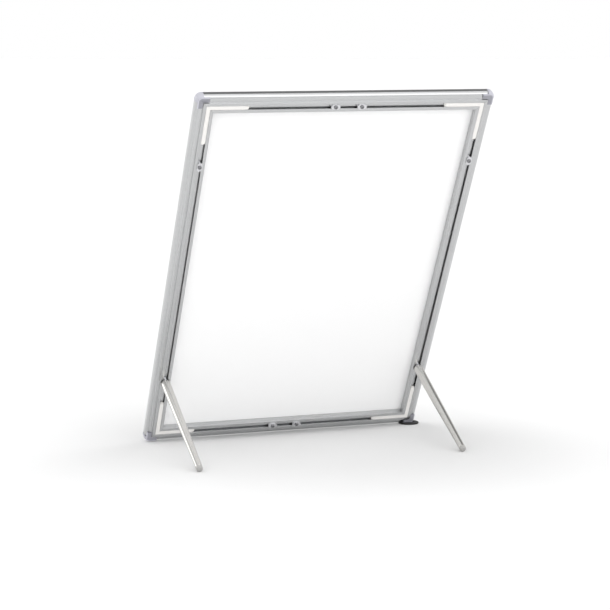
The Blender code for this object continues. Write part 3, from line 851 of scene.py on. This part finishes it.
def screw_mesh():
    """A pan-head screw with a cross recess."""
    under = LUG_HEAD[1] + GAP
    crown = (SCREW_TOP - under) * SCREW_CROWN
    profile = [
        (0, SCREW_TOP),
        *arc(SCREW_HEAD_R - crown, SCREW_TOP - crown, crown, math.pi / 2, 0, 8),
        (SCREW_HEAD_R, under),
        (SCREW_SHANK_R, under),
        (SCREW_SHANK_R, SCREW_TIP + SCREW_POINT),
        (SCREW_SHANK_R * SCREW_POINT_R, SCREW_TIP),
        (0, SCREW_TIP),
    ]
    long, half, deep = RECESS
    spin = Matrix.Rotation(RECESS_TURN, 4, "Y")
    steps = []
    for a, b in ((long, half), (half, long)):
        bar = box("recess", (-a, SCREW_TOP - deep, -b), (a, SCREW_TOP + deep, b))
        bar.transform(spin)
        steps.append(("DIFFERENCE", bar))
    return finished(lathe("screw", profile, 48), steps)


def make_lugs():
    shapes = {True: lug_mesh(LUG_STUD_HOLE), False: lug_mesh(LUG_SCREW_HOLE)}
    screw = screw_mesh()
    for name, (x, z, upright) in LUGS.items():
        is_leg = name.endswith("leg")
        side = name.split("_")[0]
        body = f"leg_lug_{side}" if is_leg else f"lug_{name}"
        place = Matrix.Translation((x, 0, z))
        turn = Matrix.Rotation(math.pi / 2 if upright else 0, 4, "Y")
        piece(
            f"lug_{name}", shapes[is_leg].copy(), ZINC, body,
            [f"slot_lug_{name}"], place @ turn,
        )
        if not is_leg:
            piece(
                f"screw_{name}", screw.copy(), SCREW, body,
                [f"lug_screw_{name}"], place,
            )


# --- legs -----------------------------------------------------------------------------


def make_leg(side, x):
    place = Matrix.Translation((x, 0, LEG_Z))
    body = f"leg_{side}"
    shaft_end = LEG_LENGTH - TIP_LENGTH - GAP
    bore, pin_bore = STUD_R + GAP, TIP_PIN_R + GAP
    thin = Vector((LEG_TIP_R, shaft_end - LEG_CHAMFER))
    thick = Vector((LEG_BASE_R, LEG_START + LEG_CHAMFER))
    shaft = [
        (0, shaft_end - TIP_PIN - GAP),
        (pin_bore, shaft_end - TIP_PIN - GAP),
        (pin_bore, shaft_end),
        *arc(LEG_TIP_R - LEG_CHAMFER, shaft_end - LEG_CHAMFER, LEG_CHAMFER,
             math.pi / 2, 0, 4),
        *(tuple(thin.lerp(thick, i / 24)) for i in range(1, 24)),
        *arc(LEG_BASE_R - LEG_CHAMFER, LEG_START + LEG_CHAMFER, LEG_CHAMFER,
             0, -math.pi / 2, 4),
        (bore, LEG_START),
        (bore, STUD_DEPTH + GAP),
        (0, STUD_DEPTH + GAP),
    ]
    mesh = finished(lathe("leg", shaft, 96))
    piece(
        f"shaft_{side}", mesh, LEG_METAL, body,
        [f"leg_{side}"], place,
    )
    start = LEG_LENGTH - TIP_LENGTH
    tip = [
        (0, LEG_LENGTH),
        *arc(LEG_TIP_R - TIP_ROUND, LEG_LENGTH - TIP_ROUND, TIP_ROUND, math.pi / 2, 0, 14),
        (LEG_TIP_R, start + TIP_CHAMFER),
        (LEG_TIP_R - TIP_CHAMFER, start),
        (TIP_PIN_R, start),
        (TIP_PIN_R, start - TIP_PIN),
        (0, start - TIP_PIN),
    ]
    mesh = finished(lathe("tip", tip, 96))
    piece(f"tip_{side}", mesh, TIP, body, [f"leg_tip_{side}"], place)
    stud = [
        (0, STUD_DEPTH),
        (STUD_R - STUD_CHAMFER, STUD_DEPTH),
        (STUD_R, STUD_DEPTH - STUD_CHAMFER),
        (STUD_R, SCREW_TIP + STUD_CHAMFER),
        (STUD_R - STUD_CHAMFER, SCREW_TIP),
        (0, SCREW_TIP),
    ]
    mesh = finished(lathe("stud", stud, 48))
    piece(f"stud_{side}", mesh, ZINC, body, [f"leg_stud_{side}"], place)


# --- foot and springs -----------------------------------------------------------------


def make_foot():
    """A level rubber disc, grooved for the corner cap and for the cover's swing."""
    low, high = (Vector(corner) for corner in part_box("rubber_foot"))
    inner, inner_floor, outer_floor, outer = (FOOT_R - ring for ring in FOOT_RING)
    profile = [
        (0, FOOT_T),
        (inner, FOOT_T),
        (inner_floor, FOOT_T - FOOT_RING_DEPTH),
        (outer_floor, FOOT_T - FOOT_RING_DEPTH),
        (outer, FOOT_T),
        *arc(FOOT_R - FOOT_CHAMFER, FOOT_T - FOOT_CHAMFER, FOOT_CHAMFER, math.pi / 2, 0, 5),
        (FOOT_R, FOOT_EDGE),
        (FOOT_R - FOOT_EDGE, 0),
        (0, 0),
    ]
    disc = lathe("foot", profile, 96)
    disc.transform(Matrix.Rotation(math.pi / 2, 4, "X"))
    middle = (low + high) / 2
    outer_edge = -HALF_W - EDGE - CAP_PROUD - POCKET_PLAY + ORIGIN.x - middle.x
    pocket_low = (outer_edge, POCKET_Y[0], FOOT_FLOOR)
    pocket = box("pocket", pocket_low, (2 * FOOT_R, POCKET_Y[1], 2 * FOOT_T))
    steps = (("DIFFERENCE", pocket),)
    mesh = finished(disc, steps, bevel=FOOT_BEVEL, sharp=SMALL_SHARP)
    ground = BOARD.inverted() @ Matrix.Translation((middle.x, middle.y, 0))
    piece("foot", mesh, RUBBER, "frame", ["rubber_foot"], ground)


def dress_springs():
    for name, made in NODES.items():
        if name.startswith("leaf_spring"):
            made.data.materials.clear()
            made.data.materials.append(SPRING)


make_camera()
make_world()
make_floor()
make_rails()
make_sheets()
make_caps()
make_connectors()
make_lugs()
make_leg("left", HALF_W)
make_leg("right", -HALF_W)
make_foot()
dress_springs()
bpy.context.scene.view_settings.view_transform = "Standard"
